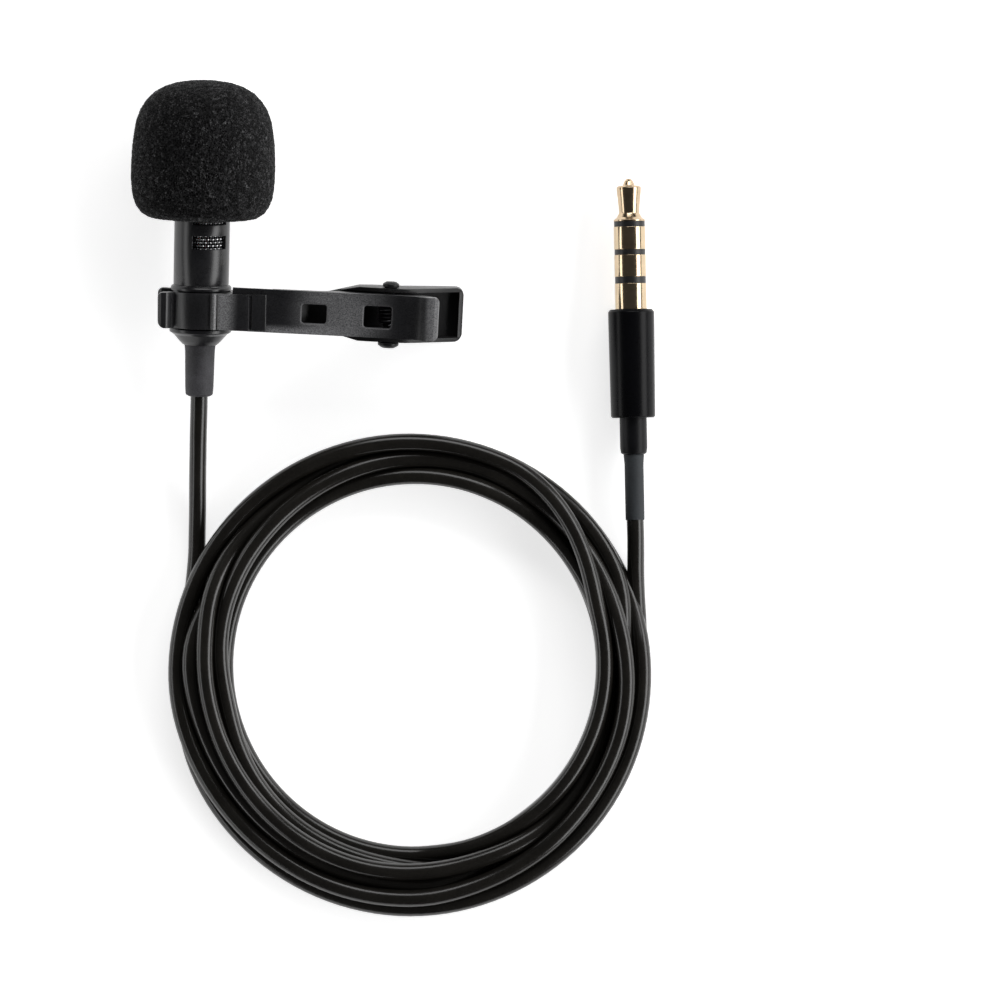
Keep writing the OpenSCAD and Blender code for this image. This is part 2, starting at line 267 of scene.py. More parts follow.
@dataclass(frozen=True)
class HighlightPatch:
    """A painted highlight: a greyer area on the front of the clip, laid out along its arms, where
    light catches a bent or raised face.

    Attributes:
        grey: Colour of the painted highlight.
        start_mm: Where it fades in.
        end_mm: Where it fades out.
        hem_mm: Where it fades out across the arm, or None to span it.
        front_mm: Height at which the front face starts.
        fade_mm: Distance over which the patch fades in above that height.
        least: Strength of the patch between its specks.
    """

    grey: Colour
    start_mm: tuple[float, float]
    end_mm: tuple[float, float]
    hem_mm: tuple[float, float] | None = None
    front_mm: float = 2.8
    fade_mm: float = 0.2
    least: float = 0.25

    def over(self, paint: Paint, place: Matrix, colour: object) -> bpy.types.NodeSocket:
        """Returns the colour with the painted highlight on it.

        Args:
            paint: The material.
            place: The clip's frame.
            colour: The colour under the patch.

        Returns:
            The blended colour.
        """
        # The mask lays the painted highlight out along the arm, on its front face.
        along = paint.measured(place, 0)
        mask = along.step(*self.start_mm) * (1 - along.step(*self.end_mm))
        mask = mask * paint.measured(place, 2).step(
            self.front_mm, self.front_mm + self.fade_mm
        )
        if self.hem_mm:
            mask = mask * (1 - paint.measured(place, 1).step(*self.hem_mm))
        speck = paint.noise(0.13, 2.0).step(0.25, 0.75)
        return paint.blend(mask * (speck * (1 - self.least) + self.least), colour, self.grey)


@dataclass(frozen=True)
class Finish:
    """A surface finish: one colour with grain, tonal variation, worn edges and painted highlights.

    Attributes:
        name: The material's name.
        colour: The main colour.
        roughness: The mean roughness.
        metallic: 1 for bare metal.
        grain_mm: Size of the fine grain.
        grain_depth_mm: Depth of the grain's bump.
        tone: How far the colour varies over the surface, as a share.
        spread: How far the roughness varies.
        coat: Weight of the clear coat.
        wear_colour: Colour of the edges where the finish is rubbed.
        wear: How much the rubbed edges show.
        brushed: Stretch of the grain along each axis, 1 for none.
        specular: Strength of the plain reflection, 0.5 for plastic.
        painted_highlights: Painted highlights on the clip's front, where light catches its faces.
    """

    name: str
    colour: Colour
    roughness: float
    metallic: float = 0.0
    grain_mm: float = 0.25
    grain_depth_mm: float = 0.004
    tone: float = 0.3
    spread: float = 0.08
    coat: float = 0.0
    wear_colour: Colour = (0.1, 0.1, 0.105)
    wear: float = 0.0
    brushed: Point = (1, 1, 1)
    specular: float = 0.5
    painted_highlights: tuple[HighlightPatch, ...] = ()

    def make(self, places: "Places") -> bpy.types.Material:
        """Builds the node material.

        Args:
            places: The frames that the finish may be laid out in.

        Returns:
            The material.
        """
        paint = Paint(self.name)
        vector = paint.stretched(self.brushed)
        fine = paint.noise(self.grain_mm, 3.0, vector)
        broad = paint.noise(self.grain_mm * 14, 2.0)
        dark = tuple(c * (1 - self.tone) for c in self.colour)
        light = tuple(min(1.0, c * (1 + self.tone)) for c in self.colour)
        colour = paint.blend((fine * 0.5 + broad * 0.5).step(0.3, 0.7), dark, light)
        rough = fine * self.spread + broad * self.spread + (self.roughness - self.spread)
        # Painted highlights: greyer areas where light catches the clip's faces.
        for patch in self.painted_highlights:
            colour = patch.over(paint, places.clip, colour)
        if self.wear:
            edge = paint.attribute("wear") * fine.step(0.3, 0.62) * self.wear
            colour = paint.blend(edge.held(), colour, self.wear_colour)
            rough = rough - edge * 0.08
        paint.set(Base_Color=colour, Roughness=rough.held(0.03, 1.0))
        paint.set(Metallic=self.metallic, Coat_Weight=self.coat)
        paint.fixed(Coat_Roughness=0.06, Specular_IOR_Level=self.specular)
        paint.set(Normal=paint.bump(fine, self.grain_depth_mm, 0.6))
        return paint.material


@dataclass(frozen=True)
class FoamFinish:
    """Open-cell foam: cell walls, with painted shade in the pores between them and painted glints
    on the shiniest walls.

    Attributes:
        name: The material's name.
        painted_pore_shade: Colour of the pores: painted shade in the pits between the cell walls.
        wall: Colour of the cell walls.
        painted_glint_and_shine: Colour of the painted glints on the shiniest walls.
        sheen: Weight of the soft sheen at grazing angles.
    """

    name: str = "foam"
    painted_pore_shade: Colour = (0.0005, 0.0005, 0.0006)
    wall: Colour = (0.011, 0.011, 0.012)
    painted_glint_and_shine: Colour = (0.16, 0.16, 0.165)
    sheen: float = 0.12

    def make(self, places: "Places") -> bpy.types.Material:
        """Builds the node material from the mesh's wall and glint attributes.

        Args:
            places: The frames that the finish may be laid out in; not used here.

        Returns:
            The material.
        """
        paint = Paint(self.name)
        wall = paint.attribute("wall")
        painted_glint_and_shine = paint.attribute("painted_glint_and_shine")
        fine = paint.noise(0.07, 2.0)
        # The pores get painted shade; the walls keep the foam's own colour.
        colour = paint.blend(wall * fine.step(0.4, 0.6), self.painted_pore_shade, self.wall)
        # Painted glints: the shiniest walls get a light colour as well as lower roughness.
        colour = paint.blend((wall * painted_glint_and_shine * fine.step(0.45, 0.58)).held(), colour, self.painted_glint_and_shine)
        paint.set(Base_Color=colour, Roughness=(0.85 - wall * painted_glint_and_shine * 0.4).held(0.2, 1.0))
        paint.fixed(Specular_IOR_Level=0.2, Sheen_Weight=self.sheen, Sheen_Roughness=0.4)
        paint.set(Normal=paint.bump(fine, 0.03, 0.8))
        return paint.material


@dataclass(frozen=True)
class MeshFinish:
    """Woven steel wire, bright where a wire comes over, with painted shade where it goes under.

    Attributes:
        name: The material's name.
        under: Colour of the sunk wire: painted shade.
        over: Colour of the wire's crests.
        low_mm: Distance from the microphone's axis at which a crest starts.
        high_mm: Distance at which it is bright.
        mouth_mm: Heights between which the grille at the mouth starts.
    """

    name: str
    under: Colour
    over: Colour
    low_mm: float = 2.53
    high_mm: float = 2.6
    mouth_mm: tuple[float, float] = (8.9, 9.1)

    def make(self, places: "Places") -> bpy.types.Material:
        """Builds the node material.

        Args:
            places: The frames that the finish may be laid out in.

        Returns:
            The material.
        """
        paint = Paint(self.name)
        across = paint.measured(places.mic, 0)
        front = paint.measured(places.mic, 2)
        reach = (across * across + front * front) ** 0.5
        grille = paint.measured(places.mic, 1).step(*self.mouth_mm)
        # Out of the crests the sunk wire gets painted shade; the grille at the mouth is all crest.
        crest = (reach.step(self.low_mm, self.high_mm) + grille).held()
        fine = paint.noise(0.05)
        paint.set(Base_Color=paint.blend(crest * (fine * 0.3 + 0.7), self.under, self.over))
        paint.set(Metallic=1.0, Roughness=fine * 0.12 + 0.24)
        paint.set(Normal=paint.bump(fine, 0.002, 0.5))
        return paint.material


class Shop:
    """The finishes, each made once, by material slot."""

    FINISHES = {
        "foam": FoamFinish(),
        "black_metal": Finish(
            "black_metal", (0.008, 0.008, 0.0095), 0.29, grain_mm=0.12, grain_depth_mm=0.002,
            tone=0.3, spread=0.06, wear=0.5, wear_colour=(0.05, 0.05, 0.052),
        ),
        "steel_mesh": MeshFinish("steel_mesh", (0.02, 0.02, 0.02), (0.9, 0.9, 0.92)),
        # The posts: a darker copy of the same steel, painted shade.
        "shaded_steel_posts": MeshFinish("shaded_steel_posts", (0.01, 0.01, 0.01), (0.12, 0.12, 0.125)),
        "capsule_can": Finish("capsule_can", (0.6, 0.6, 0.62), 0.3, metallic=1.0, tone=0.1),
        "boot_rubber": Finish("boot_rubber", (0.02, 0.02, 0.02), 0.75),
        "board": Finish("board", (0.03, 0.14, 0.05), 0.35, coat=0.4),
        "wire_jacket": Finish("wire_jacket", (0.4, 0.05, 0.04), 0.4),
        "crimp_brass": Finish("crimp_brass", (0.55, 0.42, 0.2), 0.35, metallic=1.0),
        "relief_rubber": Finish(
            "relief_rubber", (0.046, 0.045, 0.05), 0.66, grain_mm=0.14, grain_depth_mm=0.02,
            tone=0.4, spread=0.1, specular=0.4,
        ),
        "collar_black": Finish(
            "collar_black", (0.007, 0.007, 0.008), 0.33, grain_mm=0.16, grain_depth_mm=0.006,
            tone=0.35, spread=0.08, wear=0.6, wear_colour=(0.06, 0.06, 0.064),
            # Painted highlight on the strap's left part, where it slopes toward the light.
            painted_highlights=(HighlightPatch((0.23, 0.23, 0.235), (1.05, 1.3), (2.8, 4.2)),),
        ),
        "clip_black": Finish(
            "clip_black", (0.004, 0.004, 0.005), 0.36, grain_mm=0.1, grain_depth_mm=0.005,
            tone=0.4, spread=0.1, wear=0.8, wear_colour=(0.12, 0.12, 0.125),
            specular=0.3,
            painted_highlights=(
                # Painted highlights: the arm's raised middle, the bend along its lower edge and
                # the lip at its end.
                HighlightPatch((0.19, 0.19, 0.195), (9.0, 13.5), (15.5, 22.0)),
                HighlightPatch((0.3, 0.3, 0.31), (2.5, 4.5), (10.0, 20.0), hem_mm=(-2.3, -1.3)),
                HighlightPatch((0.2, 0.2, 0.205), (24.4, 25.0), (25.8, 26.4)),
            ),
        ),
        # A darker copy of the clip's black for the rear arm: painted shade in its tray.
        "shaded_rear_black": Finish(
            "shaded_rear_black", (0.0025, 0.0025, 0.003), 0.38, grain_mm=0.1, grain_depth_mm=0.004,
            tone=0.4, spread=0.08, wear=0.35, wear_colour=(0.08, 0.08, 0.083), specular=0.3,
        ),
        "spring_steel": Finish(
            "spring_steel", (0.16, 0.16, 0.17), 0.3, metallic=1.0, grain_mm=0.1, tone=0.2
        ),
        "lead_jacket": Finish(
            "lead_jacket", (0.011, 0.01, 0.0085), 0.22, grain_mm=0.3, grain_depth_mm=0.002,
            tone=0.3, spread=0.06,
        ),
        "gold_plate": Finish(
            "gold_plate", (0.66, 0.52, 0.35), 0.16, metallic=1.0, grain_mm=0.08,
            grain_depth_mm=0.001, tone=0.08, spread=0.05, brushed=(0.3, 8, 0.3),
        ),
        # A darker copy of the gold plating for the tip: painted shade that damps its reflection.
        "shaded_gold_tip": Finish(
            "shaded_gold_tip", (0.6, 0.46, 0.31), 0.18, metallic=1.0, grain_mm=0.08,
            grain_depth_mm=0.001, tone=0.12, spread=0.06,
        ),
        "insulator_black": Finish("insulator_black", (0.01, 0.01, 0.01), 0.4, grain_mm=0.1),
        "terminal_brass": Finish("terminal_brass", (0.6, 0.46, 0.22), 0.35, metallic=1.0),
        "handle_gloss": Finish(
            "handle_gloss", (0.0025, 0.0025, 0.0032), 0.28, grain_mm=0.4, grain_depth_mm=0.001,
            tone=0.2, spread=0.05, specular=0.12,
        ),
        "tail_black": Finish(
            "tail_black", (0.003, 0.003, 0.004), 0.42, grain_mm=0.25, tone=0.3, specular=0.2
        ),
        "shrink_grey": Finish(
            "shrink_grey", (0.026, 0.03, 0.034), 0.68, grain_mm=0.2, grain_depth_mm=0.01,
            tone=0.2, specular=0.4,
        ),
    }

    def __init__(self, places: "Places") -> None:
        """Makes no material until one is asked for.

        Args:
            places: The frames that some finishes are laid out in.
        """
        self.places = places
        self.made: dict[str, bpy.types.Material] = {}

    def finish(self, slot: str) -> bpy.types.Material:
        """Returns the material of a slot."""
        if slot not in self.made:
            self.made[slot] = self.FINISHES[slot].make(self.places)
        return self.made[slot]

    def dress(self, obj: bpy.types.Object, slot: str) -> None:
        """Gives an object one slot's material in place of any it has."""
        obj.data.materials.clear()
        obj.data.materials.append(self.finish(slot))

    def dress_cad(self) -> None:
        """Dresses every CAD node with the finish of its slot in the record."""
        for part in frame["record"]["subparts"]:
            self.dress(frame["nodes"][part["node"]], part["material_slot"])


# ---------------------------------------------------------------- mesh building


def object_of(name: str, bm: bmesh.types.BMesh) -> bpy.types.Object:
    """Turns a bmesh into an object at the origin.

    Args:
        name: The object's name.
        bm: The finished bmesh, which is freed.

    Returns:
        The new object, shaded smooth but for its sharp edges.
    """
    mesh = bpy.data.meshes.new(name)
    bm.to_mesh(mesh)
    bm.free()
    obj = bpy.data.objects.new(name, mesh)
    bpy.context.scene.collection.objects.link(obj)
    smooth(mesh)
    return obj


def smooth(mesh: bpy.types.Mesh, angle: float = 38) -> None:
    """Shades a mesh smooth and marks edges sharper than angle, in degrees."""
    mesh.shade_smooth()
    mesh.set_sharp_from_angle(angle=math.radians(angle))


def mark_wear(bm: bmesh.types.BMesh, start: float = 18, full: float = 50) -> None:
    """Writes a wear attribute: 1 on vertices at a convex corner, 0 on flat ground.

    Args:
        bm: The mesh to mark.
        start: Turn of the surface, in degrees, at which wear starts.
        full: Turn at which it is full.
    """
    layer = bm.verts.layers.float.new("wear")
    for vert in bm.verts:
        turn = 0.0
        for edge in vert.link_edges:
            if len(edge.link_faces) == 2 and edge.is_convex:
                turn = max(turn, math.degrees(edge.calc_face_angle(0.0)))
        vert[layer] = min(1.0, max(0.0, (turn - start) / (full - start)))


def filleted(outline: Sequence[tuple], steps: int = 5) -> list[tuple[float, float]]:
    """Rounds an outline's corners.

    Args:
        outline: Points (x, y) or (x, y, radius), in order. The two ends aren't rounded.
        steps: Segments in each rounded corner.

    Returns:
        The outline's points with arcs at the rounded corners.
    """
    made = [tuple(outline[0][:2])]
    for before, corner, after in zip(outline, outline[1:], outline[2:]):
        here = Vector(corner[:2])
        radius = corner[2] if len(corner) > 2 else 0.0
        back = Vector(before[:2]) - here
        ahead = Vector(after[:2]) - here
        half = back.angle(ahead) / 2
        if radius <= 0 or half > math.radians(89):
            made.append(tuple(here))
            continue
        cut = min(radius / math.tan(half), 0.49 * back.length, 0.49 * ahead.length)
        start = here + back.normalized() * cut
        end = here + ahead.normalized() * cut
        for step in range(steps + 1):
            t = step / steps
            made.append(tuple(start * (1 - t) ** 2 + here * 2 * t * (1 - t) + end * t * t))
    made.append(tuple(outline[-1][:2]))
    return made


def turned(
    name: str, outline_mm: Sequence[tuple], place: Matrix, steps: int = 96, closed: bool = False
) -> bpy.types.Object:
    """Makes a lathe-turned piece.

    Args:
        name: The object's name.
        outline_mm: (radius, height) or (radius, height, fillet) points, in millimetres.
        place: Matrix from the lathe's frame, axis +Z, to the model's frame.
        steps: Segments round the axis.
        closed: True for a ring, whose outline closes on itself away from the axis.

    Returns:
        The turned object.
    """
    outline = list(outline_mm)
    if closed:
        middle = tuple((a + b) / 2 for a, b in zip(outline[-1][:2], outline[0][:2]))
        outline = [middle, *outline, middle]
    points = filleted(outline)
    if closed:
        points.pop()
    bm = bmesh.new()
    verts = [bm.verts.new((r * MM, 0, h * MM)) for r, h in points]
    edges = [bm.edges.new(pair) for pair in zip(verts, verts[1:])]
    if closed:
        edges.append(bm.edges.new((verts[-1], verts[0])))
    bmesh.ops.spin(
        bm, geom=verts + edges, cent=(0, 0, 0), axis=(0, 0, 1), angle=math.tau,
        steps=steps, use_merge=True,
    )
    bmesh.ops.remove_doubles(bm, verts=bm.verts, dist=2e-7)
    bmesh.ops.recalc_face_normals(bm, faces=bm.faces)
    mark_wear(bm)
    bmesh.ops.transform(bm, matrix=place, verts=bm.verts)
    return object_of(name, bm)


def round_edges(
    bm: bmesh.types.BMesh, sharper: float, width_mm: float, segments: int = 3,
    chosen: Callable[[Vector], bool] | None = None,
) -> None:
    """Bevels the sharp edges of a mesh.

    Args:
        bm: The mesh.
        sharper: Turn of the surface, in degrees, above which an edge is sharp.
        width_mm: Width of the rounding.
        segments: Segments in the rounding.
        chosen: Says whether an edge with this middle is rounded, or None for all.
    """
    sharp = [
        e for e in bm.edges
        if len(e.link_faces) == 2 and e.calc_face_angle(0) > math.radians(sharper)
        and (chosen is None or chosen((e.verts[0].co + e.verts[1].co) / 2))
    ]
    bmesh.ops.bevel(
        bm, geom=sharp, offset=width_mm * MM, offset_type="OFFSET", affect="EDGES",
        segments=segments, profile=0.5, material=-1, clamp_overlap=chosen is None,
    )


def softened(
    name: str, node: str, width_mm: float,
    wide: Callable[[Vector], bool] | None = None, wide_mm: float = 0.2,
) -> bpy.types.Object:
    """Copies a CAD node and rounds its sharp edges.

    Args:
        name: The new object's name.
        node: The CAD node to copy.
        width_mm: Width of the rounding.
        wide: Says whether an edge with this middle gets the wide rounding.
        wide_mm: Width of the wide rounding.

    Returns:
        The rounded copy, which replaces the node.
    """
    bm = bmesh.new()
    bm.from_mesh(frame["nodes"][node].data)
    bmesh.ops.remove_doubles(bm, verts=bm.verts, dist=1e-6)
    bmesh.ops.dissolve_limit(
        bm, angle_limit=math.radians(2), verts=bm.verts, edges=bm.edges, delimit=set()
    )
    if wide:
        round_edges(bm, 32, wide_mm, chosen=wide)
    round_edges(bm, 32, width_mm)
    bmesh.ops.remove_doubles(bm, verts=bm.verts, dist=1e-6)
    mark_wear(bm, 12, 35)
    obj = object_of(name, bm)
    smooth(obj.data, 50)
    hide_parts(node)
    return obj


def wires(
    name: str, paths: Sequence[Sequence[Point]], radius: float, loops: bool = False, sides: int = 1
) -> bpy.types.Object:
    """Makes a mesh of round wires.

    Args:
        name: The object's name.
        paths: Each wire's points in the model's frame.
        radius: The wires' radius.
        loops: True closes each wire on itself.
        sides: Bevel resolution, 1 for six sides.

    Returns:
        One mesh object that holds all the wires.
    """
    curve = bpy.data.curves.new(name, "CURVE")
    curve.dimensions = "3D"
    curve.bevel_depth = radius
    curve.bevel_resolution = sides
    curve.use_fill_caps = True
    for path in paths:
        spline = curve.splines.new("POLY")
        spline.points.add(len(path) - 1)
        spline.points.foreach_set("co", np.c_[np.array(path), np.ones(len(path))].ravel())
        spline.use_cyclic_u = loops
        spline.use_smooth = True
    source = bpy.data.objects.new(name + "_curve", curve)
    bpy.context.scene.collection.objects.link(source)
    solid = source.evaluated_get(bpy.context.evaluated_depsgraph_get())
    mesh = bpy.data.meshes.new_from_object(solid)
    mesh.name = name
    bpy.data.objects.remove(source)
    obj = bpy.data.objects.new(name, mesh)
    bpy.context.scene.collection.objects.link(obj)
    smooth(mesh, 60)
    return obj


# ---------------------------------------------------------------- places


def joint(name: str) -> dict:
    """Returns a joint of the record by name."""
    return next(j for j in frame["record"]["behaviour"]["joints"] if j["name"] == name)


def axes(x: Vector, y: Vector, z: Vector, at: Vector) -> Matrix:
    """Returns the matrix of a frame with these axes at a point."""
    return Matrix.Translation(at) @ Matrix((x, y, z)).transposed().to_4x4()


@dataclass
class Places:
    """The frames that the pieces are drawn in.

    Attributes:
        clip_roll: Turn of the clip round the barrel, in radians.
        pin_u: Distance from the barrel's axis to the pin.
        pin_w: Height of the pin above the barrel's axis.
        handle_to_mount: Distance from the handle's front face to the plug's mount.
        mic: X right, Y up the microphone's axis, Z to its front, from the foam's foot.
        clip: X along the arms, Y along the pin, Z to the front.
        plug: The plug's lathe frame, axis +Z to its tip, from the handle's front face.
    """

    clip_roll: float = math.radians(1.5)
    pin_u: float = 20.75 * MM
    pin_w: float = 0.9 * MM
    handle_to_mount: float = 1.4 * MM
    mic: Matrix = field(init=False)
    clip: Matrix = field(init=False)
    plug: Matrix = field(init=False)

    def __post_init__(self) -> None:
        """Works the frames out from the record's joints and mounts."""
        slide = joint("windscreen_slide")
        y = Vector(slide["axis"]).normalized()
        x = y.cross(Vector((0, 0, 1))).normalized()
        self.mic = axes(x, y, x.cross(y), Vector(slide["pos_m"]))
        pin = joint("jaw_open")
        v = -Vector(pin["axis"]).normalized()
        w = self.mic.to_3x3() @ Vector((math.sin(self.clip_roll), 0, math.cos(self.clip_roll)))
        u = v.cross(w).normalized()
        at = Vector(pin["pos_m"]) - u * self.pin_u - w * self.pin_w
        self.clip = axes(u, v, w, at)
        mount = next(m for m in frame["record"]["mounts"] if m["name"] == "jack_plug")
        tip = Vector(mount["axis"]).normalized()
        side = tip.cross(Vector((0, 0, 1))).normalized()
        at = Vector(mount["pos_m"]) - tip * self.handle_to_mount
        self.plug = axes(side, side.cross(tip) * -1, tip, at)

    def mic_lathe(self, height_mm: float = 0.0) -> Matrix:
        """Returns the lathe frame on the microphone's axis, at a height."""
        stand = Matrix.Rotation(-math.pi / 2, 4, "X")
        return self.mic @ Matrix.Translation((0, height_mm * MM, 0)) @ stand


@dataclass
class Assembly:
    """A group of pieces made in one shop.

    Attributes:
        shop: The finishes.
        places: The frames that the pieces are drawn in.
    """

    shop: Shop
    places: Places

    def fit(
        self, obj: bpy.types.Object, slot: str, body: Body, *nodes: str, finish: str = ""
    ) -> bpy.types.Object:
        """Dresses a piece and puts it on its body in its nodes' place.

        Args:
            obj: The piece.
            slot: Its slot in the record.
            body: The body that it rides on.
            nodes: The CAD nodes that it replaces, if that isn't said yet.
            finish: The finish that it gets, or nothing for the slot's own.

        Returns:
            The piece.
        """
        self.shop.dress(obj, finish or slot)
        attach(obj, body.value)
        if nodes:
            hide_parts(*nodes)
        return obj


# ---------------------------------------------------------------- stage


@dataclass(frozen=True)
class Lamp:
    """One soft area light.

    Attributes:
        name: The light's name.
        at: Where it stands.
        size: Its width and height.
        power: Its power in watts.
    """

    name: str
    at: Point
    size: tuple[float, float]
    power: float

    def hang(self, aim: Point) -> None:
        """Makes the light and turns it to face a point.

        Args:
            aim: The point that it faces.
        """
        data = bpy.data.lights.new(self.name, "AREA")
        data.shape = "RECTANGLE"
        data.size, data.size_y = self.size
        data.energy = self.power
        obj = bpy.data.objects.new(self.name, data)
        bpy.context.scene.collection.objects.link(obj)
        obj.location = self.at
        obj.rotation_euler = (Vector(aim) - Vector(self.at)).to_track_quat("-Z", "Y").to_euler()


@dataclass
class Stage:
    """A pale floor, soft lights and a camera that looks straight down.

    Attributes:
        centre: The point on the table that the camera looks at.
        height: The camera's distance above that point.
        width: Width of the view at the level of the object.
        sensor_mm: Width of the camera's sensor.
        floor_size: Length of the floor's sides.
        floor_colour: The floor's colour.
        floor_glow: Strength of the floor's own light.
        room_light: Strength of the light from all round.
        backdrop_light: Brightness of the backdrop behind the floor's edge.
        lamps: The lights.
    """

    centre: Point = (0.0222, -0.0287, 0.004)
    height: float = 1.2
    width: float = 0.110
    sensor_mm: float = 36.0
    floor_size: float = 3.0
    floor_colour: Colour = (0.93, 0.93, 0.93)
    floor_glow: float = 0.66
    room_light: float = 0.045
    backdrop_light: float = 0.95
    lamps: tuple[Lamp, ...] = (
        Lamp("key", (0.93, -0.1, 0.46), (2.0, 0.5), 13.5),
        Lamp("left", (-0.95, -0.15, 0.34), (2.0, 0.3), 4.6),
        Lamp("top", (0.15, 0.8, 0.65), (0.9, 0.4), 4.2),
    )

    def floor(self) -> None:
        """Makes the floor."""
        bm = bmesh.new()
        bmesh.ops.create_grid(bm, x_segments=1, y_segments=1, size=self.floor_size / 2)
        obj = object_of("floor", bm)
        paint = Paint("floor")
        paint.set(Base_Color=self.floor_colour, Roughness=0.9)
        paint.set(Emission_Color=(1, 1, 1), Emission_Strength=self.floor_glow)
        obj.data.materials.append(paint.material)

    def camera(self) -> None:
        """Makes the camera."""
        data = bpy.data.cameras.new("camera")
        data.sensor_width = self.sensor_mm
        data.lens = self.sensor_mm * self.height / self.width
        data.dof.use_dof = False
        obj = bpy.data.objects.new("camera", data)
        bpy.context.scene.collection.objects.link(obj)
        obj.location = Vector(self.centre) + Vector((0, 0, self.height))
        bpy.context.scene.camera = obj

    def surroundings(self) -> None:
        """Makes a dim room with a pale backdrop behind the floor's edge."""
        world = bpy.data.worlds.new("world")
        world.use_nodes = True
        nodes, links = world.node_tree.nodes, world.node_tree.links
        room, backdrop = nodes["Background"], nodes.new("ShaderNodeBackground")
        for part, strength in ((room, self.room_light), (backdrop, self.backdrop_light)):
            part.inputs["Color"].default_value = (1, 1, 1, 1)
            part.inputs["Strength"].default_value = strength
        seen, mix = nodes.new("ShaderNodeLightPath"), nodes.new("ShaderNodeMixShader")
        links.new(seen.outputs["Is Camera Ray"], mix.inputs[0])
        links.new(room.outputs[0], mix.inputs[1])
        links.new(backdrop.outputs[0], mix.inputs[2])
        links.new(mix.outputs[0], nodes["World Output"].inputs["Surface"])
        bpy.context.scene.world = world

    def build(self) -> None:
        """Makes the floor, the camera, the lights and the room."""
        self.floor()
        self.camera()
        for lamp in self.lamps:
            lamp.hang(self.centre)
        self.surroundings()
        bpy.context.scene.view_settings.view_transform = "Standard"


# ---------------------------------------------------------------- plug


@dataclass
class Plug(Assembly):
    """The four-pole jack plug and the sleeve behind it.

    Attributes:
        contact_mm: Radius of the contacts.
        washer_mm: Radius of the black washers between them.
        core_mm: Radius of the hole through them.
        pieces: The pieces at the lead's far end, once they are made.
    """

    contact_mm: float = 1.75
    washer_mm: float = 1.7
    core_mm: float = 0.5
    pieces: list[bpy.types.Object] = field(default_factory=list)

    def disc(
        self, name: str, node: str, low: float, high: float
    ) -> tuple[str, str, list[tuple], str]:
        """Returns the recipe of one contact or washer of the plug's shaft.

        Args:
            name: The piece's name, which says whether it is a washer.
            node: The CAD node that it replaces.
            low: Height of its foot, in millimetres.
            high: Height of its top.

        Returns:
            Its name, CAD node, outline and slot.
        """
        washer = name.endswith("washer")
        radius, edge = self.washer_mm if washer else self.contact_mm, 0.05
        outline = [
            (self.core_mm, low), (radius, low, edge), (radius, high, edge), (self.core_mm, high)
        ]
        return name, node, outline, "insulator_black" if washer else "gold_plate"

    def recipes(self) -> list[tuple[str, str, list[tuple], str]]:
        """Lists the turned pieces from the tip to the lead.

        Returns:
            Each piece's name, CAD node, outline and slot.
        """
        r = self.contact_mm
        tip = [
            (0, 9.7), (r, 9.7, 0.05), (r, 9.86, 0.05), (1.42, 10.12, 0.15), (1.12, 10.62, 0.4),
            (1.2, 11.6, 0.5), (1.36, 13.1, 0.3), (1.37, 13.42, 0.12), (1.2, 13.6, 0.06),
            (0.66, 13.66, 0.06), (0.5, 14.1, 0.15), (0.26, 14.37, 0.12), (0, 14.4),
        ]
        handle = [
            (0.95, -11.95), (2.28, -11.95, 0.1), (2.44, -11.78, 0.1), (2.45, -11, 0.3),
            (2.55, -0.3, 0.2), (2.32, 0.0, 0.08), (0.5, 0.0),
        ]
        tail = [
            (0.95, -16), (1.1, -16, 0.05), (1.42, -15.85, 0.3), (1.5, -15.2, 0.4),
            (1.5, -11.95), (0.95, -11.95),
        ]
        shrink = [
            (0.95, -23.2), (1.04, -23.2, 0.04), (1.05, -22.6, 0.1), (1.05, -17, 0.1),
            (1.12, -16.2, 0.1), (1.12, -16, 0.03), (0.95, -16),
        ]
        return [
            ("tip_contact", "plug_tip", tip, "gold_plate"),
            self.disc("tip_washer", "tip_insulator", 9.1, 9.7),
            self.disc("right_contact", "plug_ring_right", 6.6, 9.1),
            self.disc("ring_washer", "ring_insulator", 6.0, 6.6),
            self.disc("ground_contact", "plug_ring_ground", 3.6, 6.0),
            self.disc("sleeve_washer", "sleeve_insulator", 2.85, 3.6),
            self.disc("sleeve_contact", "plug_sleeve", 0.0, 2.85),
            ("handle_shell", "plug_barrel", handle, "handle_gloss"),
            ("tail_boot", "plug_tail", tail, "tail_black"),
            ("grey_sleeve", "shrink_sleeve", shrink, "shrink_grey"),
        ]

    def build(self) -> None:
        """Makes the plug and keeps the list of what is on the lead's end."""
        for name, node, outline, slot in self.recipes():
            solid = outline[0][0] == 0
            obj = turned(name, outline, self.places.plug, closed=not solid)
            # The solid tip gets the darker gold: painted shade.
            finish = "shaded_gold_tip" if solid else slot
            self.pieces.append(self.fit(obj, slot, Body.MICROPHONE, node, finish=finish))
        self.pieces += [frame["nodes"][name] for name in ("plug_core", "plug_terminals")]


# ---------------------------------------------------------------- lead


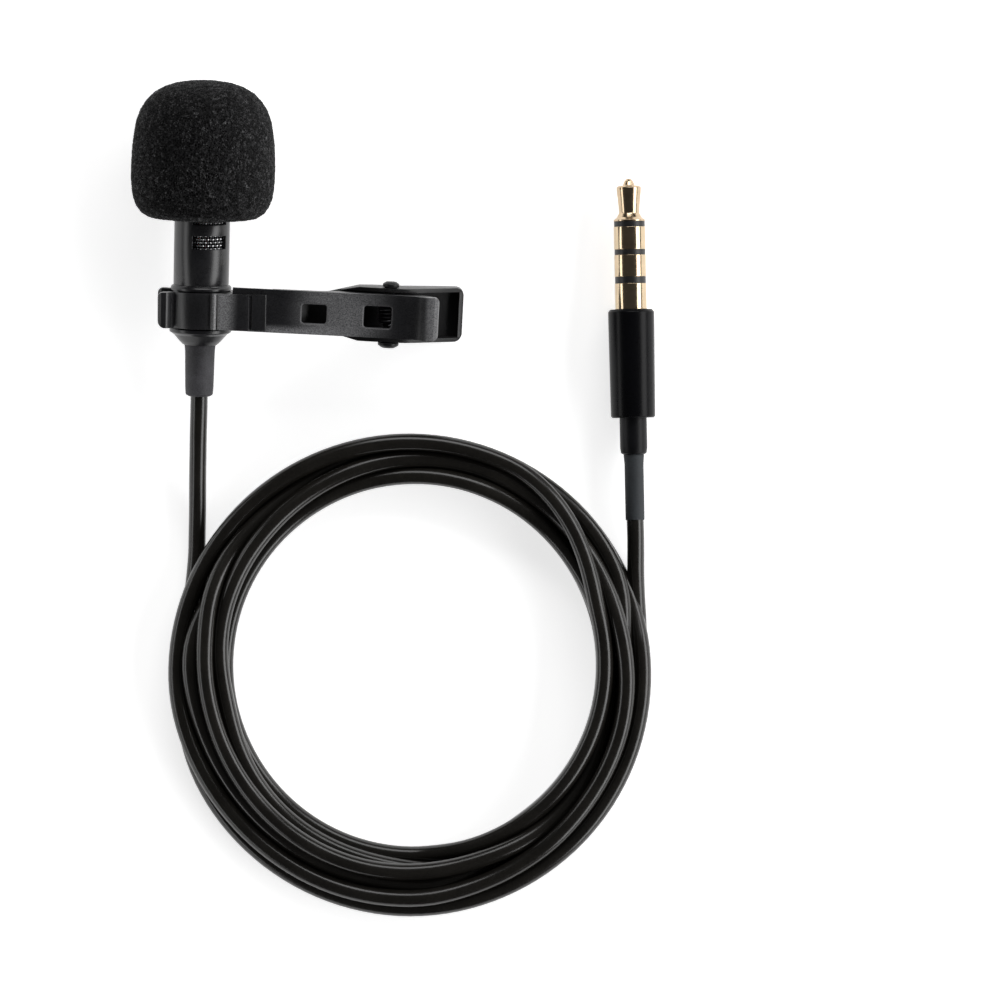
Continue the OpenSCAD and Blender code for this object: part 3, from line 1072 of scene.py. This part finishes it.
@dataclass
class Lead(Assembly):
    """The lead: out of the strain relief, round the coil and into the plug.

    Attributes:
        plug: The plug on its far end; not used.
        diameter: The lead's diameter.
        foot: Index of the centreline's point at the foot of the strain relief; not used.
        centre: The coil's centre on the table.
        radius: The mean radius of its turns.
        steps: Samples in each turn.
        start: Angle at which the coil starts, in degrees.
        sweep: Angle that it turns through, in degrees.
        swing: How far a turn wanders sideways before it settles.
        heap: Height that the middle turns fall from.
        bounce: How far a turn wanders up and down before it settles.
        entry: Distance of the first samples outside the mean radius.
        drift: How much nearer each of them is than the one before.
        leave: Distance of the straight way out from the coil's middle.
        inner_mm: Least distance from the centre, and what it gains to the right and up.
        outer_mm: Greatest distance, and what it gains to the right and up.
        guided: Samples held on their course at the start and the end.
        grounded: Samples kept on the table at the start and the end.
        rounds: Rounds of settling.
        quiet: Rounds at the end in which nothing falls.
        fall: How far a sample falls in each round.
        ease: Share of its unevenness that a sample loses in each round.
        gap: Distance between two strands' centrelines, in diameters.
        seed: Seed of the wandering.
        lead_in_mm: The centreline from inside the strain relief to the coil.
        lead_out_mm: The centreline from the coil to inside the plug's sleeve.
    """

    plug: Plug
    diameter: float = 1.9 * MM
    foot: int = 4
    centre: tuple[float, float] = (12.49 * MM, -47.37 * MM)
    radius: float = 23.28 * MM
    steps: int = 128
    start: float = 160.0
    sweep: float = 2728.0
    swing: float = 2.9 * MM
    heap: float = 3.4 * MM
    bounce: float = 1.3 * MM
    entry: float = 2.4 * MM
    drift: float = 0.15 * MM
    leave: float = 25.0 * MM
    inner_mm: Point = (19.97, 0.31, 0.44)
    outer_mm: Point = (26.6, -0.24, -0.6)
    guided: tuple[int, int] = (8, 6)
    grounded: tuple[int, int] = (16, 14)
    rounds: int = 900
    quiet: int = 100
    fall: float = 0.014 * MM
    ease: float = 0.42
    gap: float = 1.012
    seed: int = 5
    lead_in_mm: tuple[Point, ...] = (
        (-10.8, -14.17, 5.28), (-10.87, -17.25, 4.9), (-10.92, -19.4, 4.57), (-10.99, -21.5, 4.1),
        (-11.04, -23.6, 3.44), (-11.09, -25.7, 2.72), (-11.12, -27.8, 2.0), (-11.14, -30, 1.45),
        (-11.19, -32.2, 1.1), (-11.24, -34.4, 0.97), (-11.39, -36.4, 0.96),
    )
    lead_out_mm: tuple[Point, ...] = (
        (37.42, -42.0, 0.96), (37.32, -40.4, 0.96), (37.22, -38.5, 1.0), (37.17, -36.6, 1.35),
        (37.16, -34.7, 1.9), (37.14, -32.8, 2.35), (37.08, -30.9, 2.6), (37.04, -28.9, 2.6),
    )

    def wander(self, rng: np.random.Generator, angle: np.ndarray, waves: Point) -> np.ndarray:
        """Makes a smooth random course along the cord.

        Args:
            rng: The source of chance.
            angle: The samples' angles in degrees.
            waves: Waves in each turn of the three swings that are added up.

        Returns:
            A number between about -1 and 1 for each sample.
        """
        course = np.zeros_like(angle)
        for wave in waves:
            course += np.sin(angle * wave / 360 * math.tau + rng.uniform(0, math.tau))
        return course / len(waves)

    def limit(self, shape_mm: Point, angle: np.ndarray) -> np.ndarray:
        """Returns a limit of the coil's bundle at each angle, in radians."""
        middle, right, up = shape_mm
        return (middle + right * np.cos(angle) + up * np.sin(angle)) * MM

    def settle(self) -> tuple[np.ndarray, np.ndarray, np.ndarray]:
        """Lays the turns beside and on each other a diameter apart.

        Returns:
            The angle, in radians, the distance from the centre and the height of each
            sample along the coil.
        """
        rng = np.random.default_rng(self.seed)
        d = self.diameter
        count = int(self.sweep / 360 * self.steps) + 1
        angle = self.start + np.arange(count) * 360 / self.steps
        share = np.linspace(0, 1, count)
        rho = self.radius + self.swing * self.wander(rng, angle, (0.31, 0.53, 0.86))
        z = d / 2 + self.heap * np.sin(share * math.pi) ** 0.7
        z += self.bounce * self.wander(rng, angle, (0.41, 0.77, 1.19))
        head, end = self.guided
        first = self.radius + self.entry - self.drift * np.arange(head)
        last = self.leave / np.cos(np.radians(angle[-end:]))
        low = self.limit(self.inner_mm, np.radians(angle)) + d / 2
        high = self.limit(self.outer_mm, np.radians(angle)) - d / 2
        for turn in range(self.rounds):
            for apart in range(self.steps, count, self.steps):
                dr = rho[apart:] - rho[:-apart]
                dz = z[apart:] - z[:-apart]
                distance = np.sqrt(dr**2 + dz**2) + 1e-9
                push = np.maximum(0, self.gap * d - distance) / distance * 0.5
                rho[apart:] += push * dr
                rho[:-apart] -= push * dr
                z[apart:] += push * dz
                z[:-apart] -= push * dz
            if turn < self.rounds - self.quiet:
                z -= self.fall
            rho += (np.clip(rho, low, high) - rho) * 0.5
            for course in (rho, z):
                course[1:-1] += self.ease * (course[:-2] + course[2:] - 2 * course[1:-1]) / 2
            rho[:head] = first
            rho[-end:] = last
            for on_table in (slice(self.grounded[0]), slice(-self.grounded[1], None)):
                z[on_table] = np.minimum(z[on_table], d / 2)
            np.maximum(z, d / 2, out=z)
        return np.radians(angle), rho, z

    def route(self) -> np.ndarray:
        """Joins the coil to the stretches that lead to and from it.

        Returns:
            The points of the whole lead's centreline.
        """
        angle, rho, z = self.settle()
        x, y = self.centre
        coil = np.c_[x + rho * np.cos(angle), y + rho * np.sin(angle), z]
        start = self.dense(np.array(self.lead_in_mm) * MM, coil[0], coil[1])
        end = self.dense(np.array(self.lead_out_mm)[::-1] * MM, coil[-1], coil[-2])[::-1]
        return np.vstack([start, coil, end])

    def dense(self, points: np.ndarray, join: np.ndarray, beyond: np.ndarray) -> np.ndarray:
        """Fills a listed stretch with points on a smooth curve that runs into the coil.

        Args:
            points: The listed points.
            join: The coil's end that they lead to.
            beyond: The coil's next point.

        Returns:
            Points four times as dense, without the join.
        """
        full = np.vstack([2 * points[0] - points[1], points, join, beyond])
        made = []
        for a, b, c, e in zip(full, full[1:], full[2:], full[3:]):
            for t in np.arange(4) / 4:
                bend = (2 * a - 5 * b + 4 * c - e) * t**2
                made.append(0.5 * (2 * b + (c - a) * t + bend + (3 * b - a - 3 * c + e) * t**3))
        return np.array(made)

    def build(self) -> None:
        line = self.route()
        curve = bpy.data.curves.new("lead", "CURVE")
        curve.dimensions = "3D"
        curve.bevel_depth = self.diameter / 2
        curve.bevel_resolution = 5
        curve.use_fill_caps = True
        curve.twist_mode = "MINIMUM"
        spline = curve.splines.new("POLY")
        spline.points.add(len(line) - 1)
        spline.points.foreach_set("co", np.c_[line, np.ones(len(line))].ravel())
        spline.use_smooth = True
        obj = bpy.data.objects.new("lead", curve)
        bpy.context.scene.collection.objects.link(obj)
        nodes = ("cord_lead_in", "cable_coil", "cord_lead_out")
        self.fit(obj, "lead_jacket", Body.MICROPHONE, *nodes)


# ---------------------------------------------------------------- microphone


@dataclass
class Barrel(Assembly):
    """The microphone's barrel, its woven mesh, cap, ring and strain relief.

    Attributes:
        radius_mm: Radius of the barrel.
        wall_mm: Thickness of its wall.
        foot_mm: Height of its foot.
        top_mm: Height of its mouth.
        groove_mm: Heights of the upper, middle and lower edge of a turned groove.
        groove_share: Radius at the groove's middle as a share of the barrel's.
        window_low_mm: Height of the lowest windows' middle.
        window_pitch_mm: Distance between two windows' middles.
        window_h_mm: Height of a window.
        window_turn: Direction of one column of windows, in degrees.
        window_arc: Width of a window, in degrees.
        window_rows: Windows in a column.
        wire_mm: Radius of the mesh's wire.
        crimp: How far a wire sways, in wire radii.
        row_pitch_mm: Distance between two rings of wire.
        columns: Upright wires in the mesh.
        margin_mm: How far the mesh runs past the windows' middles.
        slack_mm: Gap between the mesh and the wall.
        grille_pitch_mm: Distance between two wires of the mouth's grille.
        grille_gap_mm: Gap between the grille and the wall.
        grille_depth_mm: Depth of the grille below the mouth.
    """

    radius_mm: float = 3.05
    wall_mm: float = 0.4
    foot_mm: float = -11.9
    top_mm: float = 9.3
    groove_mm: Point = (-7.34, -7.26, -7.18)
    groove_share: float = 0.985
    window_low_mm: float = -2.45
    window_pitch_mm: float = 2.7
    window_h_mm: float = 1.45
    window_turn: float = -69.0
    window_arc: float = 80.0
    window_rows: int = 3
    wire_mm: float = 0.085
    crimp: float = 0.9
    row_pitch_mm: float = 0.35
    columns: int = 54
    margin_mm: float = 1.4
    slack_mm: float = 0.02
    grille_pitch_mm: float = 0.33
    grille_gap_mm: float = 0.1
    grille_depth_mm: float = 0.25

    def window_edges(self) -> list[float]:
        """Returns the heights of the windows' lower and upper edges."""
        middle = [self.window_low_mm + i * self.window_pitch_mm for i in range(self.window_rows)]
        return [m + side * self.window_h_mm / 2 for m in middle for side in (-1, 1)]

    def in_window(self, at: Vector) -> bool:
        """Says whether a point of the barrel's skin lies in a window.

        Args:
            at: The point in the lathe's frame.

        Returns:
            True if it does.
        """
        turn = math.degrees(math.atan2(at.y, at.x)) - self.window_turn
        off = abs((turn + 90) % 180 - 90)
        height = at.z / MM - self.window_low_mm
        level = round(height / self.window_pitch_mm)
        inside = abs(height - level * self.window_pitch_mm) < self.window_h_mm / 2
        return off < self.window_arc / 2 and inside and 0 <= level < self.window_rows

    def tube(self) -> None:
        """Makes the barrel with its two columns of windows."""
        heights = sorted([self.foot_mm, *self.groove_mm, *self.window_edges(), self.top_mm])
        bm = bmesh.new()
        row = [bm.verts.new((self.radius_mm * MM, 0, h * MM)) for h in heights]
        turn = Matrix.Rotation(math.radians(self.window_turn), 3, "Z")
        bmesh.ops.rotate(bm, verts=row, cent=(0, 0, 0), matrix=turn)
        chain = [bm.edges.new(pair) for pair in zip(row, row[1:])]
        bmesh.ops.spin(
            bm, geom=row + chain, cent=(0, 0, 0), axis=(0, 0, 1), angle=math.tau, steps=180,
            use_merge=True,
        )
        gone = [f for f in bm.faces if self.in_window(f.calc_center_median())]
        bmesh.ops.delete(bm, geom=gone, context="FACES")
        for vert in bm.verts:
            if abs(vert.co.z / MM - self.groove_mm[1]) < 0.01:
                vert.co.x *= self.groove_share
                vert.co.y *= self.groove_share
        bmesh.ops.recalc_face_normals(bm, faces=bm.faces)
        outward = sum(f.normal.xy.dot(f.calc_center_median().xy) for f in bm.faces)
        if outward < 0:
            bmesh.ops.reverse_faces(bm, faces=bm.faces)
        bmesh.ops.solidify(bm, geom=bm.faces[:], thickness=self.wall_mm * MM)
        round_edges(bm, 60, 0.05, segments=2)
        mark_wear(bm, 15, 40)
        bmesh.ops.transform(bm, matrix=self.places.mic_lathe(), verts=bm.verts)
        obj = object_of("barrel_shell", bm)
        smooth(obj.data, 50)
        self.fit(obj, "black_metal", Body.MICROPHONE, "mic_body")

    def laid(self, place: Matrix, *coordinates: np.ndarray) -> list[Point]:
        """Returns a wire's points, given in millimetres in a frame, in the model's frame."""
        return [tuple(place @ Vector(p * MM)) for p in np.c_[coordinates]]

    def weave(self) -> None:
        """Makes the woven wire sleeve behind the windows."""
        mid = self.radius_mm - self.wall_mm - 2 * self.wire_mm - self.slack_mm
        low = self.window_low_mm - self.margin_mm
        height = (self.window_rows - 1) * self.window_pitch_mm + 2 * self.margin_mm
        rows = int(height / self.row_pitch_mm) + 1
        place = self.places.mic_lathe()
        rings, posts = [], []
        turns = np.arange(self.columns * 4) / (self.columns * 4) * math.tau
        for row in range(rows):
            sway = np.cos(turns * self.columns / 2 + row * math.pi) * self.wire_mm * self.crimp
            level = np.full_like(turns, low + row * self.row_pitch_mm)
            reach = mid + sway
            rings.append(self.laid(place, reach * np.cos(turns), reach * np.sin(turns), level))
        steps = np.arange((rows - 1) * 4 + 1) / 4
        for column in range(self.columns):
            turn = column / self.columns * math.tau
            reach = mid - np.cos((steps + column) * math.pi) * self.wire_mm * self.crimp
            level = low + steps * self.row_pitch_mm
            posts.append(self.laid(place, reach * math.cos(turn), reach * math.sin(turn), level))
        for name, paths, loops, finish in (
            ("mesh_rings", rings, True, "steel_mesh"),
            # The posts get the darker steel: painted shade.
            ("mesh_posts", posts, False, "shaded_steel_posts"),
        ):
            obj = wires(name, paths, self.wire_mm * MM, loops)
            self.fit(obj, "steel_mesh", Body.MICROPHONE, "mesh_sleeve", finish=finish)

    def grille(self) -> None:
        """Makes the woven disc at the barrel's mouth."""
        reach = self.radius_mm - self.wall_mm - self.grille_gap_mm
        place = self.places.mic_lathe(self.top_mm - self.grille_depth_mm)
        pitch = self.grille_pitch_mm
        count = int(reach / pitch)
        paths = []
        for across in (False, True):
            for i in range(-count, count + 1):
                half = math.sqrt(max(0.05, reach**2 - (i * pitch) ** 2))
                steps = np.linspace(-half, half, max(3, int(2 * half / pitch * 4)))
                lift = np.cos((steps / pitch + i + across) * math.pi) * self.wire_mm * self.crimp
                level = np.full_like(steps, i * pitch)
                pair = (level, steps) if across else (steps, level)
                paths.append(self.laid(place, *pair, lift))
        obj = wires("grille_weave", paths, self.wire_mm * MM)
        self.fit(obj, "steel_mesh", Body.MICROPHONE, "top_grille")

    def turned_parts(self) -> None:
        """Makes the stop ring, the tail cap and the strain relief."""
        ring = [
            (3.05, -7.92), (3.2, -7.92, 0.06), (3.33, -7.8, 0.12), (3.33, -7.55, 0.12),
            (3.2, -7.36, 0.08), (3.05, -7.36),
        ]
        cap = [
            (0.95, -13.9), (1.9, -13.9, 0.12), (2.35, -13.45, 0.5), (2.95, -12.75, 0.3),
            (3.32, -12.52, 0.1), (3.4, -12.42, 0.08), (3.4, -12.06, 0.1), (3.1, -11.97),
            (2.66, -11.95), (2.66, -10.95), (0.95, -10.95),
        ]
        relief = [
            (0.96, -19.6), (1.2, -19.6, 0.08), (1.5, -19.42, 0.22), (1.56, -18.6), (1.64, -14.6),
            (1.7, -14.1, 0.1), (1.72, -13.9, 0.04), (0.96, -13.9),
        ]
        for name, node, outline, slot in (
            ("ring_bead", "stop_ring", ring, "black_metal"),
            ("cap_shell", "tail_cap", cap, "black_metal"),
            ("relief_sleeve", "strain_relief", relief, "relief_rubber"),
        ):
            obj = turned(name, outline, self.places.mic_lathe(), closed=True)
            self.fit(obj, slot, Body.MICROPHONE, node)

    def build(self) -> None:
        """Makes every piece of the microphone's head."""
        self.tube()
        self.weave()
        self.grille()
        self.turned_parts()


# ---------------------------------------------------------------- windscreen


@dataclass
class Windscreen(Assembly):
    """The foam cap over the microphone's end.

    Attributes:
        width: Its outer radius.
        height: Its height.
        bore: Radius of the hole that the barrel fits.
        depth: Depth of that hole.
        fillet: Radius of the outline's rounded corners.
        outside_share: Share of the skin's rows that lie outside the hole.
        fineness: Subdivisions of the ball that becomes the skin.
        pores: Number of open cells over the surface.
        cell: Width of the walls between the cells.
        jitter: How far a cell's middle strays from the even skin.
        dent: Depth of a cell.
        bore_dent: Share of that depth inside the hole.
        clearance: Height of the skin's lowest point above the table.
        seed: Seed of the cells' places.
    """

    width: float = 7.9 * MM
    height: float = 15.2 * MM
    bore: float = 3.12 * MM
    depth: float = 9.8 * MM
    fillet: float = 0.6 * MM
    outside_share: float = 0.8
    fineness: int = 8
    pores: int = 20000
    cell: float = 0.11 * MM
    jitter: float = 0.05 * MM
    dent: float = 0.22 * MM
    bore_dent: float = 0.25
    clearance: float = 0.01 * MM
    seed: int = 11

    def outline(self) -> list[tuple[float, float]]:
        """Draws the half section, from the top's middle down and up into the bore.

        Returns:
            The radius and height of each of its points.
        """
        shape = [
            (0, 1), (0.2, 0.996), (0.4, 0.98), (0.56, 0.952), (0.7, 0.909), (0.81, 0.85),
            (0.89, 0.785), (0.945, 0.7), (0.97, 0.62), (0.99, 0.545), (1, 0.46), (1.005, 0.36),
            (1.005, 0.28), (0.99, 0.2), (0.97, 0.145), (0.93, 0.09), (0.86, 0.04),
            (0.76, 0.008), (0.6, 0.0),
        ]
        points = [(r * self.width, z * self.height) for r, z in shape]
        lip = [(self.bore + self.fillet / 2, self.fillet / 2), (self.bore, self.fillet)]
        return points + lip + [(self.bore, self.depth), (0, self.depth)]

    def skin(self) -> bmesh.types.BMesh:
        """Draws a ball out to the foam's shape, in its lathe frame.

        Returns:
            An even, closed skin.
        """
        bm = bmesh.new()
        bmesh.ops.create_icosphere(bm, subdivisions=self.fineness, radius=1.0)
        rounded = np.array(filleted([(*p, self.fillet) for p in self.outline()], 4))
        along = np.r_[0, np.cumsum(np.linalg.norm(np.diff(rounded, axis=0), axis=1))]
        bore_length = self.depth + self.bore
        outside = along[-1] - bore_length
        for vert in bm.verts:
            x, y, z = vert.co
            share = math.acos(max(-1.0, min(1.0, z))) / math.pi
            if share < self.outside_share:
                length = outside * share / self.outside_share
            else:
                past = (share - self.outside_share) / (1 - self.outside_share)
                length = outside + bore_length * past
            r = np.interp(length, along, rounded[:, 0])
            h = np.interp(length, along, rounded[:, 1])
            flat = math.hypot(x, y) or 1.0
            vert.co = (x / flat * r, y / flat * r, h)
        return bm

    def roughen(self, bm: bmesh.types.BMesh) -> None:
        """Presses the cells into the skin and writes the wall and glint attributes.

        Args:
            bm: The skin.
        """
        rng = np.random.default_rng(self.seed)
        bm.verts.ensure_lookup_table()
        bm.normal_update()
        place = np.array([v.co for v in bm.verts])
        wall = bm.verts.layers.float.new("wall")
        painted_glint_and_shine = bm.verts.layers.float.new("painted_glint_and_shine")
        chosen = rng.choice(len(place), self.pores, replace=False)
        tree = KDTree(self.pores)
        for number, index in enumerate(chosen):
            tree.insert(place[index] + rng.normal(0, self.jitter, 3), number)
        tree.balance()
        # Each cell's shine lowers its walls' roughness and sets their painted glint.
        shine = rng.random(self.pores) ** 4
        bore_edge, bore_top = self.bore + self.fillet, self.depth + MM
        for vert in bm.verts:
            nearest, second = tree.find_n(vert.co, 2)
            edge = (second[2] - nearest[2]) / self.cell
            inner = math.hypot(vert.co.x, vert.co.y) < bore_edge and vert.co.z < bore_top
            ridge = max(0.0, 1 - min(1.0, edge)) ** 1.5
            vert[wall] = ridge
            vert[painted_glint_and_shine] = shine[nearest[1]]
            deep = self.bore_dent if inner else 1.0
            vert.co -= vert.normal * (self.dent * deep * (1 - ridge))

    def build(self) -> None:
        """Makes the foam piece."""
        bm = self.skin()
        self.roughen(bm)
        bmesh.ops.transform(bm, matrix=self.places.mic_lathe(), verts=bm.verts)
        for vert in bm.verts:
            vert.co.z = max(vert.co.z, self.clearance)
        bmesh.ops.recalc_face_normals(bm, faces=bm.faces)
        obj = object_of("foam_cap", bm)
        smooth(obj.data, 180)
        self.fit(obj, "foam", Body.WINDSCREEN, "foam_windscreen")


# ---------------------------------------------------------------- clip


@dataclass
class Clip(Assembly):
    """The tie clip: collar, two arms, pin and torsion spring.

    Attributes:
        wire: Radius of the spring's wire.
        coil: Radius of its turns.
        turns: Number of turns.
        pitch: Distance between two turns, in wire radii.
        front_leg: The front leg, from the first turn.
        rear_leg: The rear leg, from the last turn.
        holes_mm: Where each of the arm's holes lies along it.
        rim_mm: Half the holes' width across the arm, and the height of its front.
    """

    wire: float = 0.2 * MM
    coil: float = 1.0 * MM
    turns: int = 5
    pitch: float = 2.12
    front_leg: Point = (2.5 * MM, 0, -0.35 * MM)
    rear_leg: Point = (3.0 * MM, 0, -1.2 * MM)
    holes_mm: tuple[tuple[float, float], ...] = ((10.8, 14.1), (17.6, 21.2))
    rim_mm: tuple[float, float] = (1.3, 3.25)

    def on_rim(self, at: Vector) -> bool:
        """Says whether a point is on the front rim of a hole in the arm.

        Args:
            at: The point in the model's frame.

        Returns:
            True if it is.
        """
        u, v, w = (self.places.clip.inverted() @ at) / MM
        in_hole = any(low < u < high for low, high in self.holes_mm)
        return in_hole and abs(v + 0.1) < self.rim_mm[0] and w > self.rim_mm[1]

    def spring(self) -> None:
        """Makes the torsion spring as one wound wire."""
        pin_u, pin_w = self.places.pin_u, self.places.pin_w
        pitch = self.pitch * self.wire
        turn = np.linspace(0, self.turns * math.tau, self.turns * 36 + 1)
        along = turn / math.tau * pitch - self.turns * pitch / 2
        coil = np.c_[pin_u + self.coil * np.sin(turn), along, pin_w + self.coil * np.cos(turn)]
        path = np.vstack([coil[0] + self.front_leg, coil, coil[-1] + self.rear_leg])
        points = [tuple(self.places.clip @ Vector(p)) for p in path]
        obj = wires("spring_wire", [points], self.wire, sides=2)
        self.shop.dress(obj, "spring_steel")
        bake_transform(obj)
        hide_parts("torsion_spring")

    def build(self) -> None:
        """Makes every piece of the clip."""
        collar = softened("collar_ring", "clip_collar", 0.09)
        self.fit(collar, "collar_black", Body.CLIP)
        arm = softened("front_arm", "front_jaw", 0.1, wide=self.on_rim, wide_mm=0.22)
        self.fit(arm, "clip_black", Body.CLIP)
        tray = softened("rear_arm_tray", "rear_jaw", 0.1)
        # The rear arm gets the darker copy of the clip's black: painted shade.
        self.fit(tray, "clip_black", Body.REAR_ARM, finish="shaded_rear_black")
        self.fit(softened("pin_rivet", "hinge_pin", 0.08), "clip_black", Body.CLIP)
        self.spring()


def main() -> None:
    """Builds the stage and every piece in order."""
    logging.basicConfig(level=logging.INFO, format="%(name)s: %(message)s")
    places = Places()
    shop = Shop(places)
    plug = Plug(shop, places)
    Stage().build()
    shop.dress_cad()
    log.info("built stage and CAD finishes")
    for part in (
        plug, Lead(shop, places, plug), Barrel(shop, places), Windscreen(shop, places),
        Clip(shop, places),
    ):
        part.build()
        log.info("built %s", type(part).__name__)


if __name__ == "__main__":
    main()
